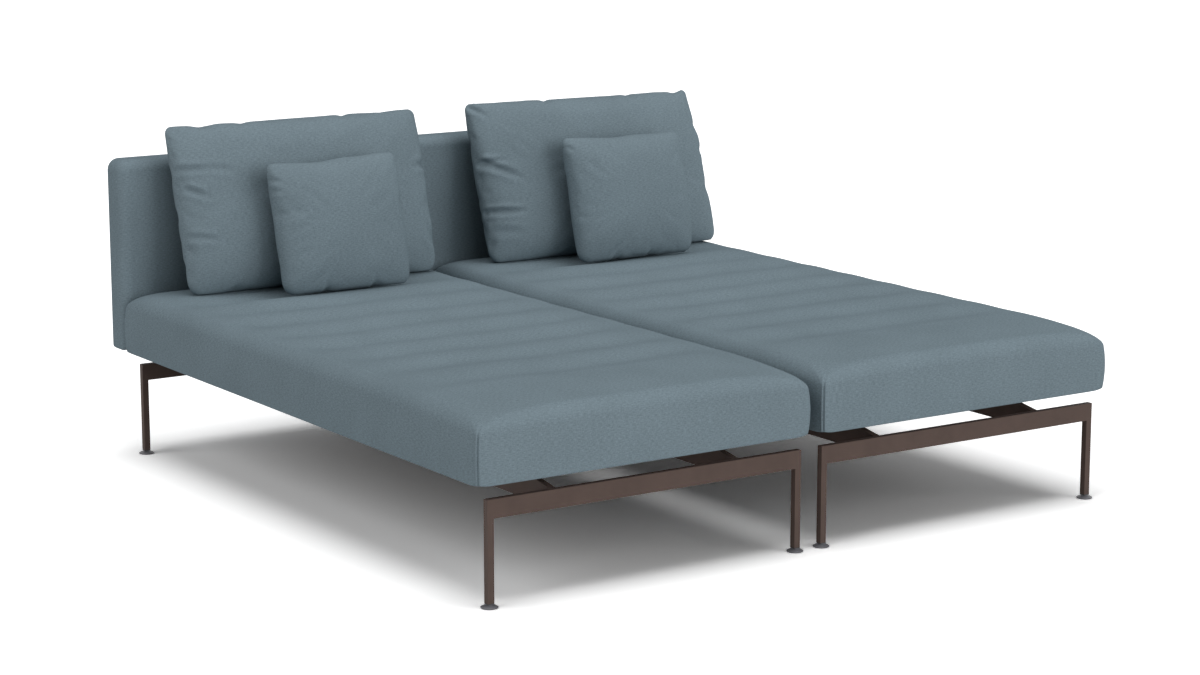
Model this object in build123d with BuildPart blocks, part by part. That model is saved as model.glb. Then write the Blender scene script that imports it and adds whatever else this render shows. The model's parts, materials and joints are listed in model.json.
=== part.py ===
from build123d import *
import math
import os

# Double chaise lounger, in millimetres.
# Two bench frames stand side by side, each with a mattress on a board, and one
# upholstered back runs behind both. Each seat has a large loose back cushion
# and a small square throw cushion that lean one behind the other.
# +X points right seen from the foot end, +Y towards the back and +Z up. The
# origin is on the floor under the middle of the whole lounger.

# Whole lounger
overall_width = 1692.0
seat_length = 1661.0
seat_height = 405.0
seat_gap = 30.0
back_height = 725.0
back_thickness = 72.0
soft_gap = 0.3

# Bench frames of welded tube, which the mattresses overhang on all sides
frame_height = 225.0
seat_clearance = 29.0
front_overhang = 12.0
rear_overhang = 19.0
outer_overhang = 31.0
inner_overhang = 13.0
tube_side = 15.0
tube_wall = 1.5
bar_height = 40.0
rail_inset = 163.5
rail_thickness = 15.0
rail_slope_run = 175.0

# Levelling feet
foot_diameter = 37.0
foot_base_inset = 2.0
foot_rim_height = 2.5
foot_dome_height = 6.0
foot_hub_diameter = 14.0
foot_height = 8.0
foot_socket_depth = 4.0
foot_clearance = 0.3
stud_diameter = 8.0
stud_reach = 20.0
thread_clearance = 0.1
plug_collar = 2.0
plug_length = 20.0

# Seat boards, the tabs that hold them and their bolts
board_side_margin = 33.5
board_end_margin = 20.0
board_thickness = 12.0
tab_length = 30.0
tab_width = 25.0
tab_thickness = 3.0
seat_bolt_diameter = 6.0
seat_bolt_head = 10.0
seat_bolt_head_height = 4.0
seat_bolt_cover = 3.0
bolt_clearance = 0.2

# Mattresses
seat_corner_radius = 12.0
seat_edge_radius = 41.0
seat_edge_steps = 3
seat_foot_radius = 5.0
seat_foot_inset_share = 0.5
seat_side_bulge = 3.0
seat_crown_height = 4.0
seat_crown_run = 110.0
seat_ripple_count = 8
seat_ripple_pitch = 159.0
seat_ripple_radius = 700.0
seat_ripple_depth = 1.6
seat_ripple_start = 265.0
seat_corner_growth_share = 1.2

# Upholstered back with its board
back_corner_radius = 32.0
back_edge_radius = 26.0
back_board_thickness = 15.0
back_board_side_margin = 46.0
back_board_end_margin = 30.0

# Brackets that carry the back from the rails
bracket_thickness = 6.0
bracket_arm_clearance = 3.5
bracket_arm_lap = 160.0
bracket_upright_width = 50.0
bracket_upright_height = 340.0
bracket_bolt_diameter = 8.0
bracket_bolt_head = 13.0
bracket_bolt_head_height = 5.0
bracket_bolt_shares = (0.2, 0.8)
back_bolt_diameter = 6.0
back_bolt_head = 12.0
back_bolt_head_depth = 3.0
back_bolt_cover = 5.0
back_bolt_shares = (0.4, 0.85)

# Loose cushions
cushion_lean = 14.5
cushion_gusset = 22.0
cushion_sink = 7.0
cushion_corner_radius = 16.0
back_cushion_margin = 69.5
back_cushion_height = 420.0
back_cushion_crown = 58.0
back_cushion_draw = 3.0
throw_cushion_width = 358.0
throw_cushion_height = 334.0
throw_cushion_crown = 46.0
throw_cushion_draw = 4.0
crown_inset_shares = (0.0, 0.05, 0.14, 0.28, 0.46, 0.66)
crown_power_share = 0.5
corner_growth_share = 0.28
corner_limit_share = 0.8
cushion_offsets = {
    "left": {"back": 43.5, "throw": 60.5},
    "right": {"back": 37.5, "throw": 60.5},
}

# Sizes that follow from the ones above
seat_width = (overall_width - seat_gap) / 2
frame_width = seat_width - outer_overhang - inner_overhang
frame_gap = seat_gap + 2 * inner_overhang
frame_depth = seat_length - front_overhang - rear_overhang
rail_spacing = frame_width - 2 * rail_inset
board_width = frame_width - 2 * board_side_margin
board_length = frame_depth - 2 * (tube_side + board_end_margin)
seat_bolt_grip = board_thickness - seat_bolt_cover
back_bolt_grip = back_board_thickness - back_bolt_cover
back_cushion_width = seat_width - 2 * back_cushion_margin
bracket_arm_height = seat_clearance - 2 * bracket_arm_clearance
foot_base_diameter = foot_diameter - 2 * foot_base_inset

# Levels and places that follow from them
foot_overhang = max(0, (foot_diameter - tube_side) / 2 - front_overhang)
seat_front = foot_overhang - (foot_overhang + seat_length + back_thickness) / 2
back_front = seat_front + seat_length
frame_front = seat_front + front_overhang
frame_rear = frame_front + frame_depth
seat_bottom = frame_height + seat_clearance
bar_bottom = frame_height - bar_height
plug_bottom = foot_height + foot_clearance
leg_bottom = plug_bottom + plug_collar
rail_front = frame_front + tube_side
rail_rear = frame_rear - tube_side
board_center_y = (rail_front + rail_rear) / 2
board_front = board_center_y - board_length / 2
board_rear = board_center_y + board_length / 2
seat_center_y = seat_front + (seat_length - soft_gap) / 2
bracket_level = frame_height + seat_clearance / 2
bracket_bottom = bracket_level - bracket_arm_height / 2
back_board_front = back_front + (back_thickness - back_board_thickness + bracket_thickness) / 2
back_board_width = overall_width - 2 * back_board_side_margin
upright_front = back_board_front - bracket_thickness
arm_front = rail_rear - rail_slope_run - bracket_arm_lap
rear_tab_inset = board_rear - arm_front - bracket_arm_lap / 2

unit_sides = {"left": -1, "right": 1}
rail_sides = {"inner": -1, "outer": 1}


def frame_x(side):
    """Middle of one bench frame."""
    return side * (frame_gap + frame_width) / 2


def seat_x(side):
    """Middle of one mattress, which is flush with the end of the back."""
    return side * (overall_width - seat_width) / 2


def leg_x(side, way):
    """Middle of a leg on the inner or outer end of a bench's bars."""
    return frame_x(side) + side * way * (frame_width - tube_side) / 2


def leg_y(place):
    """Middle of the front or rear legs and bars."""
    return frame_front + tube_side / 2 if place == "front" else frame_rear - tube_side / 2


def rail_x(side, way):
    """Middle of one rail."""
    return frame_x(side) + side * way * rail_spacing / 2


def bolt_ys(start, length, shares):
    """Places along a length, given as shares of it."""
    return [start + length * share for share in shares]


def facing_front(x, y, z):
    """Upright plane that faces the foot end, with X to the right and Z up."""
    return Plane((x, y, z), x_dir=(1, 0, 0), z_dir=(0, -1, 0))


def save(piece, name):
    """Label a finished piece and write it out."""
    piece.part.label = name
    export_step(piece.part, f"parts/{name}.step")


# Bench frame

def make_leg(x, y):
    """Square tube, open below for its plug and closed on top."""
    bore = tube_side - 2 * tube_wall
    with BuildPart() as leg:
        with BuildSketch(Plane((x, y, leg_bottom))):
            Rectangle(tube_side, tube_side)
        extrude(amount=frame_height - leg_bottom)
        with BuildSketch(Plane((x, y, leg_bottom))):
            Rectangle(bore, bore)
        extrude(amount=frame_height - leg_bottom - tube_wall, mode=Mode.SUBTRACT)
    return leg


def make_bar(x, y):
    """Upright rectangular tube between two legs."""
    length = frame_width - 2 * tube_side
    middle = Plane((x, y, frame_height - bar_height / 2), x_dir=(0, 1, 0), z_dir=(1, 0, 0))
    with BuildPart() as bar:
        with BuildSketch(middle):
            Rectangle(tube_side, bar_height)
            Rectangle(tube_side - 2 * tube_wall, bar_height - 2 * tube_wall, mode=Mode.SUBTRACT)
        extrude(amount=length / 2, both=True)
    return bar


def rail_outline(inset):
    """Side view of a rail: level below, and rising from each bar to the seat."""
    low = bar_bottom + inset
    shoulder = frame_height - inset
    high = seat_bottom - inset
    return [
        (rail_front, low),
        (rail_rear, low),
        (rail_rear, shoulder),
        (rail_rear - rail_slope_run, high),
        (rail_front + rail_slope_run, high),
        (rail_front, shoulder),
    ]


def make_rail(x):
    """Tapered box rail on edge, open at its ends, with the holes of its back bracket."""
    holes = bolt_ys(arm_front, bracket_arm_lap, bracket_bolt_shares)
    with BuildPart() as rail:
        with BuildSketch(Plane.YZ.offset(x)):
            Polygon(rail_outline(0), align=None)
        extrude(amount=rail_thickness / 2, both=True)
        with BuildSketch(Plane.YZ.offset(x)):
            Polygon(rail_outline(tube_wall), align=None)
        extrude(amount=rail_thickness / 2 - tube_wall, both=True, mode=Mode.SUBTRACT)
        with BuildSketch(Plane.YZ.offset(x)):
            with Locations(*[(y, bracket_level) for y in holes]):
                Circle(bracket_bolt_diameter / 2 + bolt_clearance)
        extrude(amount=rail_thickness, both=True, mode=Mode.SUBTRACT)
    return rail


# Levelling feet

def make_leg_plugs(side):
    """Threaded plugs in the lower ends of one bench's legs."""
    bore = tube_side - 2 * tube_wall
    places = [(leg_x(side, way), leg_y(place)) for way in (-1, 1) for place in ("front", "rear")]
    with BuildPart() as plugs:
        with BuildSketch(Plane.XY.offset(plug_bottom)):
            with Locations(*places):
                Rectangle(tube_side, tube_side)
        extrude(amount=plug_collar)
        with BuildSketch(Plane.XY.offset(leg_bottom)):
            with Locations(*places):
                Rectangle(bore, bore)
        extrude(amount=plug_length)
        with BuildSketch(Plane.XY.offset(plug_bottom)):
            with Locations(*places):
                Circle(stud_diameter / 2 + thread_clearance)
        extrude(amount=plug_collar + plug_length, mode=Mode.SUBTRACT)
    return plugs


def make_foot_pad(x, y):
    """Round glide: flat base, rounded rim, low dome and a hub with a socket."""
    rim = foot_diameter / 2
    base = foot_base_diameter / 2
    hub = foot_hub_diameter / 2
    dome_bulge = (rim - hub) / 2
    with BuildPart() as pad:
        with BuildSketch(facing_front(x, y, 0)):
            with BuildLine():
                Line((0, 0), (base, 0))
                RadiusArc((base, 0), (rim, foot_rim_height), -foot_rim_height)
                ThreePointArc(
                    (rim, foot_rim_height),
                    (rim - dome_bulge / 2, (foot_rim_height + foot_dome_height) / 2),
                    (hub, foot_dome_height),
                )
                Line((hub, foot_dome_height), (hub, foot_height))
                Line((hub, foot_height), (0, foot_height))
                Line((0, foot_height), (0, 0))
            make_face()
        revolve(axis=Axis((x, y, 0), (0, 0, 1)))
        with BuildSketch(Plane((x, y, foot_height))):
            Circle(stud_diameter / 2 + thread_clearance)
        extrude(amount=-foot_socket_depth, mode=Mode.SUBTRACT)
    return pad


def make_foot_stud(x, y):
    """Threaded stud, drawn at its outside diameter."""
    with BuildPart() as stud:
        with BuildSketch(Plane((x, y, foot_height - foot_socket_depth))):
            Circle(stud_diameter / 2)
        extrude(amount=foot_socket_depth + stud_reach)
    return stud


# Seat board and how it is held

def tab_places(side):
    """Face of the rail, way to the bench's middle and place along it, for each tab.
    The rear tabs sit halfway between the bolts of the back's brackets."""
    ys = [board_front + rear_tab_inset, board_center_y, board_rear - rear_tab_inset]
    rails = [(rail_x(side, way) - side * way * rail_thickness / 2, -side * way) for way in (-1, 1)]
    return [(face, inward, y) for face, inward in rails for y in ys]


def seat_bolt_places(side):
    """Middle of the hole in each tab."""
    return [(face + inward * (tab_thickness + tab_width) / 2, y) for face, inward, y in tab_places(side)]


def make_seat_tabs(side):
    """Angle pieces welded to the rails, flush with the top of them."""
    with BuildPart() as tabs:
        for face, inward, y in tab_places(side):
            section = Plane((face, y, seat_bottom), x_dir=(inward, 0, 0), z_dir=(0, -inward, 0))
            with BuildSketch(section):
                Polygon(
                    (0, 0),
                    (tab_width, 0),
                    (tab_width, -tab_thickness),
                    (tab_thickness, -tab_thickness),
                    (tab_thickness, -tab_width),
                    (0, -tab_width),
                    align=None,
                )
            extrude(amount=tab_length / 2, both=True)
        with BuildSketch(Plane.XY.offset(seat_bottom)):
            with Locations(*seat_bolt_places(side)):
                Circle(seat_bolt_diameter / 2 + bolt_clearance)
        extrude(amount=-tab_thickness, mode=Mode.SUBTRACT)
    return tabs


def make_seat_bolts(side):
    """Bolts up through the tabs into the board."""
    with BuildPart() as bolts:
        with BuildSketch(Plane.XY.offset(seat_bottom - tab_thickness)):
            with Locations(*seat_bolt_places(side)):
                RegularPolygon(seat_bolt_head / 2, side_count=6, major_radius=False)
        extrude(amount=-seat_bolt_head_height)
        with BuildSketch(Plane.XY.offset(seat_bottom - tab_thickness)):
            with Locations(*seat_bolt_places(side)):
                Circle(seat_bolt_diameter / 2)
        extrude(amount=tab_thickness + seat_bolt_grip)
    return bolts


def make_seat_board(side):
    """Panel under one mattress, with blind holes for its bolts."""
    with BuildPart() as board:
        with BuildSketch(Plane((frame_x(side), board_center_y, seat_bottom))):
            Rectangle(board_width, board_length)
        extrude(amount=board_thickness)
        with BuildSketch(Plane.XY.offset(seat_bottom)):
            with Locations(*seat_bolt_places(side)):
                Circle(seat_bolt_diameter / 2 + thread_clearance)
        extrude(amount=seat_bolt_grip, mode=Mode.SUBTRACT)
    return board


# Mattress

def seat_stretches():
    """Stretches of the mattress from its foot up, each a list of heights with their insets."""
    foot_top = seat_bottom + seat_foot_radius
    edge_start = seat_height - seat_crown_height - seat_edge_radius
    foot_inset = seat_side_bulge + seat_foot_radius * seat_foot_inset_share
    edge = []
    for step in range(seat_edge_steps + 1):
        turn = math.radians(90) * step / seat_edge_steps
        height = edge_start + seat_edge_radius * math.sin(turn)
        edge.append((height, seat_side_bulge + seat_edge_radius * (1 - math.cos(turn))))
    return [
        [(seat_bottom, foot_inset), (foot_top, seat_side_bulge)],
        [(foot_top, seat_side_bulge), ((foot_top + edge_start) / 2, 0), edge[0]],
        edge,
        [edge[-1], (seat_height, edge[-1][1] + seat_crown_run)],
    ]


def make_seat_pad(side):
    """Mattress with rounded edges, a crown, soft ripples and a recess for its board."""
    length = seat_length - soft_gap
    with BuildPart() as pad:
        for stretch in seat_stretches():
            for height, inset in stretch:
                with BuildSketch(Plane((seat_x(side), seat_center_y, height))):
                    RectangleRounded(
                        seat_width - 2 * inset,
                        length - 2 * inset,
                        seat_corner_radius + seat_corner_growth_share * inset,
                    )
            loft()
        with BuildSketch(Plane.YZ.offset(seat_x(side))):
            for number in range(seat_ripple_count):
                y = seat_front + seat_ripple_start + number * seat_ripple_pitch
                with Locations((y, seat_height + seat_ripple_radius - seat_ripple_depth)):
                    Circle(seat_ripple_radius)
        extrude(amount=seat_width / 2, both=True, mode=Mode.SUBTRACT)
        with BuildSketch(Plane((frame_x(side), board_center_y, seat_bottom))):
            Rectangle(board_width, board_length)
        extrude(amount=board_thickness, mode=Mode.SUBTRACT)
    return pad


# Back with its board and brackets

def back_board_levels():
    """Lower and upper edge of the board inside the back."""
    return seat_bottom + back_board_end_margin, back_height - back_board_end_margin


def upright_x(side, way):
    """Middle of a bracket, which lies against the outer face of its rail."""
    return rail_x(side, way) + side * way * (rail_thickness + bracket_thickness) / 2


def upright_levels():
    """Foot and top of the upright of a bracket."""
    return bracket_bottom, bracket_bottom + bracket_upright_height


def all_uprights():
    """Middle of every bracket of the lounger."""
    return [upright_x(side, way) for side in unit_sides.values() for way in rail_sides.values()]


def back_bolt_levels():
    """Height of each bolt between an upright and the board."""
    low, high = upright_levels()
    return bolt_ys(low, high - low, back_bolt_shares)


def make_bracket(x):
    """Arm along the rail and over the rear bar, welded to an upright in the back."""
    low, high = upright_levels()
    arm_middle = (arm_front + upright_front) / 2
    holes = bolt_ys(arm_front, bracket_arm_lap, bracket_bolt_shares)
    with BuildPart() as bracket:
        with BuildSketch(Plane.YZ.offset(x)):
            with Locations((arm_middle, bracket_level)):
                Rectangle(upright_front - arm_front, bracket_arm_height)
            with Locations(*[(y, bracket_level) for y in holes]):
                Circle(bracket_bolt_diameter / 2 + bolt_clearance, mode=Mode.SUBTRACT)
        extrude(amount=bracket_thickness / 2, both=True)
        with BuildSketch(facing_front(x, upright_front, (low + high) / 2)):
            Rectangle(bracket_upright_width, high - low)
        extrude(amount=-bracket_thickness)
        for level in back_bolt_levels():
            with Locations(facing_front(x, upright_front, level)):
                CounterSinkHole(
                    radius=back_bolt_diameter / 2 + bolt_clearance,
                    counter_sink_radius=back_bolt_head / 2 + bolt_clearance,
                    depth=bracket_thickness,
                )
    return bracket


def make_bracket_bolts():
    """Bolts with their nuts, through each arm and rail."""
    shank = bracket_thickness + rail_thickness
    holes = bolt_ys(arm_front, bracket_arm_lap, bracket_bolt_shares)
    with BuildPart() as bolts:
        for side in unit_sides.values():
            for way in rail_sides.values():
                outward = side * way
                arm_face = rail_x(side, way) + outward * (rail_thickness / 2 + bracket_thickness)
                for y in holes:
                    seat = Plane(
                        (arm_face, y, bracket_level), x_dir=(0, 1, 0), z_dir=(outward, 0, 0)
                    )
                    with BuildSketch(seat):
                        RegularPolygon(bracket_bolt_head / 2, side_count=6, major_radius=False)
                    extrude(amount=bracket_bolt_head_height)
                    with BuildSketch(seat):
                        Circle(bracket_bolt_diameter / 2)
                    extrude(amount=-shank)
                    with BuildSketch(seat.offset(-shank)):
                        RegularPolygon(bracket_bolt_head / 2, side_count=6, major_radius=False)
                    extrude(amount=-bracket_bolt_head_height)
    return bolts


def make_back_bolts():
    """Countersunk bolts from the uprights into the board."""
    head = back_bolt_head / 2
    shank = back_bolt_diameter / 2
    tip = bracket_thickness + back_bolt_grip
    with BuildPart() as bolts:
        for x in all_uprights():
            for level in back_bolt_levels():
                face = Plane((x, upright_front, level), x_dir=(1, 0, 0), z_dir=(0, 0, 1))
                with BuildSketch(face):
                    Polygon(
                        (0, 0),
                        (head, 0),
                        (shank, back_bolt_head_depth),
                        (shank, tip),
                        (0, tip),
                        align=None,
                    )
                revolve(axis=Axis((x, upright_front, level), (0, 1, 0)))
    return bolts


def make_back_board():
    """Panel inside the back that joins the two benches."""
    low, high = back_board_levels()
    with BuildPart() as board:
        with BuildSketch(facing_front(0, back_board_front, (low + high) / 2)):
            Rectangle(back_board_width, high - low)
        extrude(amount=-back_board_thickness)
        with BuildSketch(facing_front(0, back_board_front, 0)):
            with Locations(*[(x, level) for x in all_uprights() for level in back_bolt_levels()]):
                Circle(back_bolt_diameter / 2 + thread_clearance)
        extrude(amount=-back_bolt_grip, mode=Mode.SUBTRACT)
    return board


def make_back_pad():
    """Padded cover of the back, hollow where its board and the uprights are."""
    low, high = back_board_levels()
    foot, top = upright_levels()
    with BuildPart() as pad:
        with BuildSketch(facing_front(0, back_front, (seat_bottom + back_height) / 2)):
            RectangleRounded(overall_width, back_height - seat_bottom, back_corner_radius)
        extrude(amount=-back_thickness)
        rims = pad.faces().filter_by(Axis.Y).edges()
        fillet(rims, radius=back_edge_radius)
        with BuildSketch(facing_front(0, back_board_front, (low + high) / 2)):
            Rectangle(back_board_width, high - low)
        extrude(amount=-back_board_thickness, mode=Mode.SUBTRACT)
        with BuildSketch(facing_front(0, upright_front, (foot + top) / 2)):
            with Locations(*[(x, 0) for x in all_uprights()]):
                Rectangle(bracket_upright_width, top - foot)
        extrude(amount=-bracket_thickness, mode=Mode.SUBTRACT)
    return pad


# Loose cushions

def crown_contours(height, crown):
    """Inset and rise of each contour of a cushion face, from its seam to its crown."""
    reach = height / 2
    last = crown_inset_shares[-1]
    full = (1 - (1 - last) ** 2) ** crown_power_share
    return [
        (share * reach, crown * (1 - (1 - share) ** 2) ** crown_power_share / full)
        for share in crown_inset_shares
    ]


def cushion_outline(width, height, draw, inset):
    """Contour of a cushion: four corners with sides drawn in at the seam and full at the crown."""
    half = width / 2 - inset
    low = inset
    high = height - inset
    middle = height / 2
    fullness = draw * (1 - 4 * inset / height)
    rounding = cushion_corner_radius + corner_growth_share * inset
    limit = corner_limit_share * (middle - inset)
    with BuildSketch() as outline:
        with BuildLine():
            ThreePointArc((-half, low), (0, low + fullness), (half, low))
            ThreePointArc((half, low), (half - fullness, middle), (half, high))
            ThreePointArc((half, high), (0, high - fullness), (-half, high))
            ThreePointArc((-half, high), (-half + fullness, middle), (-half, low))
        make_face()
        fillet(outline.vertices(), radius=min(rounding, limit))
    return outline.sketch


def make_leaning_cushion(width, height, crown, draw):
    """Cushion leaning back on its lower edge, cut flat where it rests, at x = 0 and y = 0."""
    lean = math.radians(cushion_lean)
    rest = seat_height + soft_gap
    middle = Plane(
        (0, 0, rest - cushion_sink), x_dir=(1, 0, 0), z_dir=(0, -math.cos(lean), math.sin(lean))
    )
    with BuildPart() as cushion:
        with BuildSketch(middle.offset(-cushion_gusset / 2)):
            add(cushion_outline(width, height, draw, 0))
        extrude(amount=cushion_gusset)
        for way in (-1, 1):
            for inset, rise in crown_contours(height, crown):
                with BuildSketch(middle.offset(way * (cushion_gusset / 2 + rise))):
                    add(cushion_outline(width, height, draw, inset))
            loft()
        split(bisect_by=Plane.XY.offset(rest), keep=Keep.TOP)
    return cushion


def place_cushion(cushion, x, y):
    """Copy of a leaning cushion at its place on the seat."""
    with BuildPart() as placed:
        with Locations((x, y, 0)):
            add(cushion.part)
    return placed


# All pieces
os.makedirs("parts", exist_ok=True)

for unit, side in unit_sides.items():
    for place in ("front", "rear"):
        save(make_bar(frame_x(side), leg_y(place)), f"{unit}_{place}_bar")
        for end, way in rail_sides.items():
            spot = (leg_x(side, way), leg_y(place))
            save(make_leg(*spot), f"{unit}_{place}_{end}_leg")
            save(make_foot_pad(*spot), f"{unit}_{place}_{end}_foot_pad")
            save(make_foot_stud(*spot), f"{unit}_{place}_{end}_foot_stud")
    for end, way in rail_sides.items():
        save(make_rail(rail_x(side, way)), f"{unit}_{end}_rail")
        save(make_bracket(upright_x(side, way)), f"{unit}_{end}_back_bracket")
    save(make_leg_plugs(side), f"{unit}_leg_plugs")
    save(make_seat_tabs(side), f"{unit}_seat_tabs")
    save(make_seat_bolts(side), f"{unit}_seat_bolts")
    save(make_seat_board(side), f"{unit}_seat_board")
    save(make_seat_pad(side), f"{unit}_seat_pad")

save(make_bracket_bolts(), "bracket_bolts")
save(make_back_bolts(), "back_bolts")
save(make_back_board(), "back_board")
save(make_back_pad(), "back_pad")

back_cushion = make_leaning_cushion(
    back_cushion_width, back_cushion_height, back_cushion_crown, back_cushion_draw
)
throw_cushion = make_leaning_cushion(
    throw_cushion_width, throw_cushion_height, throw_cushion_crown, throw_cushion_draw
)
back_cushion_y = back_front - soft_gap - back_cushion.part.bounding_box().max.Y
cushion_spacing = cushion_gusset + back_cushion_crown + throw_cushion_crown + soft_gap
throw_cushion_y = back_cushion_y - cushion_spacing / math.cos(math.radians(cushion_lean))

for unit, side in unit_sides.items():
    back_x = seat_x(side) + cushion_offsets[unit]["back"]
    throw_x = seat_x(side) + cushion_offsets[unit]["throw"]
    save(place_cushion(back_cushion, back_x, back_cushion_y), f"{unit}_back_cushion")
    save(place_cushion(throw_cushion, throw_x, throw_cushion_y), f"{unit}_throw_cushion")
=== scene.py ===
import json
import math

import bpy
import numpy as np
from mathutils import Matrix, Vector, noise


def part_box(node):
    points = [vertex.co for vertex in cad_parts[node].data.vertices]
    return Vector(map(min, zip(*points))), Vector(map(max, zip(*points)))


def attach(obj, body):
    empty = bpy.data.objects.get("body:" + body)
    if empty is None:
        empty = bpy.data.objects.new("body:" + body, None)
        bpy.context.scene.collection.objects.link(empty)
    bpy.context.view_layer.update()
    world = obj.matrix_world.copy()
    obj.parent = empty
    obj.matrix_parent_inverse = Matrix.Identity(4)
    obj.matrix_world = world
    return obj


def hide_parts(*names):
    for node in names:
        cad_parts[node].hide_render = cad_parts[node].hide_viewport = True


# Double chaise lounger, in metres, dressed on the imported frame.
# +X points right seen from the foot end, +Y towards the back and +Z up.
# Counts are how many faces a ring has across, along and over half of a corner.

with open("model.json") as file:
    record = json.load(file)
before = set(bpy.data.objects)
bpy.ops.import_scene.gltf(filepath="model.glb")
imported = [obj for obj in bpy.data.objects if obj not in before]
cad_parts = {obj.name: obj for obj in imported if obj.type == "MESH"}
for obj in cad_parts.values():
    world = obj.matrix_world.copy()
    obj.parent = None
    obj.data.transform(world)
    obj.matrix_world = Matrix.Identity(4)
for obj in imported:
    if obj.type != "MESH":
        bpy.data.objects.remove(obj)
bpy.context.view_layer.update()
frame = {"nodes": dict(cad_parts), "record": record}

# Camera, solved from the photograph, with angles in degrees and its lens in millimetres
CAMERA_PLACE = (-3.6951, -5.5698, 1.6314)
CAMERA_TURN = -33.741
CAMERA_DIP = 11.033
CAMERA_LENS = 85.80
CAMERA_SENSOR = 36.0
CAMERA_REACH = 200

# Light: an even surround and soft lamps that look LAMP_SPREAD wide. Each lamp has its height and
# its turn from the foot end in degrees, its strength, and whether it lights the floor.
AMBIENT_STRENGTH = 0.17
LAMPS = {
    "top": (90, 0, 1.60, True),
    "front": (16, 0, 0.53, False),
    "right": (16, 30, 0.70, True),
    "right_face": (16, 30, 0.60, False),
    "left": (35, -90, 0.75, True),
}
LAMP_SPREAD = 45
FLOOR_REACH = 30
FLOOR_TONE = 0.9
FLOOR_SEEN_TONE = 1.60

# Cloth. The scales of a noise are its waves in a metre, here along and across the thread.
CLOTH_COLOUR = (0.160, 0.208, 0.235)
CLOTH_ROUGHNESS = 0.9
WEFT_SCALES = (110, 520)
WEFT_DETAIL = 2.0
WARP_SCALES = (520, 170)
WARP_DETAIL = 1.0
WARP_SHARE = 0.35
THREAD_STOPS = (0.34, 0.66)
THREAD_TONE_SHARES = (0.80, 1.20)
THREAD_BUMP = 0.15
THREAD_HEIGHT = 0.0005
THREAD_ROUGHNESS = 0.6
PATCH_SCALE = 7.0
PATCH_DETAIL = 3.0
PATCH_TONE_SHARES = (0.96, 1.04)
FACING_POWER = 4.0
NOISE_RANGE = (0.3, 0.7)
NOISE_ROUGHNESS = 0.5
FULL_RANGE = (0, 1)

# Coated metal
METAL_COLOUR = (0.088, 0.062, 0.053)
METAL_GLOSS = 0.08
METAL_ROUGHNESSES = (0.50, 0.62)
METAL_STOPS = (0.30, 0.72)
METAL_TONE_SHARES = (0.92, 1.08)
RUB_SCALE = 24.0
RUB_DETAIL = 4.0
PEEL_SCALE = 900.0
PEEL_DETAIL = 2.0
PEEL_BUMP = 0.12
PEEL_HEIGHT = 0.0004
EDGE_BEVEL = 0.0008
EDGE_SEGMENTS = 2

# Plastics, steel and plywood, as name, colour, roughness, scale of the grain, metallic
# and how the grain is squeezed along each axis
PLAIN_FINISHES = {
    "foot_plastic": ("grey_plastic", (0.115, 0.115, 0.127), 0.42, 300.0, 0.0, (1, 1, 1)),
    "plug_plastic": ("black_plastic", (0.020, 0.018, 0.017), 0.50, 300.0, 0.0, (1, 1, 1)),
    "fastener_steel": ("steel", (0.45, 0.45, 0.46), 0.32, 200.0, 1.0, (1, 1, 8)),
    "board_wood": ("black_plywood", (0.035, 0.033, 0.032), 0.60, 60.0, 0.0, (1, 0.08, 1)),
}
GRAIN_DETAIL = 4.0
GRAIN_STOPS = (0.3, 0.7)
GRAIN_TONE_SHARES = (0.85, 1.12)
GRAIN_ROUGHNESS = 0.06
GRAIN_BUMP = 0.1
GRAIN_HEIGHT = 0.0003

# Mattresses
SEAT_COUNTS = (64, 204, 6)
SEAT_SEEDS = {"left": 3.0, "right": 11.0}
SEAT_TOP = 0.405
SEAT_CORNER = 0.010
SEAT_CORNER_GROWTH_SHARE = 2.0
SEAT_CORNER_GROWTH_LIMIT = 0.100
SEAT_FOOT = 0.004
SEAT_FOOT_STEPS = 4
SEAT_SIDE_STEPS = 9
SEAT_EDGE = 0.040
SEAT_EDGE_STEPS = 12
SEAT_BULGE = 0.003
SEAT_BULGE_POWER = 0.8
SEAT_CROWN = 0.004
SEAT_CROWN_RUN = 0.120
SEAT_CROWN_STEPS = 9
SEAT_DROOP = 0.0115
SEAT_DROOP_REACH = 0.132
SEAT_LIFT = 0.004
SEAT_LIFT_REACH = 0.020
SEAT_LIFT_POWER = 8
SEAT_LEAN = 0.0055
SEAT_LEAN_START_SHARE = 0.8
SEAT_LEAN_RUN_SHARE = 0.2
SEAT_DIP = 0.0006
SEAT_DIP_START = 0.030
SEAT_DIP_SCALES = (6, 6, 8)
RIPPLE_START = 0.325
RIPPLE_PITCH = 0.159
RIPPLE_COUNT = 8
RIPPLE_DEPTH = 0.0160
RIPPLE_POWER = 1.2
RIPPLE_MARGIN = 0.16
RIPPLE_LEVEL = 0.020
RIPPLE_WANDER = 0.016
RIPPLE_WANDER_SCALES = (3.1, 2.2)
RIPPLE_FIRST_SHARE = 0.62
RIPPLE_GAIN_COUNT = 3
RIPPLE_LEAST_SHARE = 0.85
RIPPLE_VARIED_SHARE = 0.3
RIPPLE_VARIED_SCALES = (4.7, 2.3)
RIPPLE_SEED_STEP = 9
BOARD_THICKNESS = 0.012
BOARD_CLEARANCE = 0.001
FINE_STEP = 0.003
FINE_STEPS = 6
SEAM_DEPTH = 0.0032
SEAM_WIDTH = 0.0016
SEAM_FADE_RATE = 1.6
SEAM_SIDE_LIP_SHARE = 0.3
SEAM_SIDE_LIP_WIDTHS = 2.5
PUCKER_PLACES = (0.0085, 0.0145)
PUCKER_DEPTH = 0.0011
PUCKER_WIDTH = 0.0017

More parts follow.
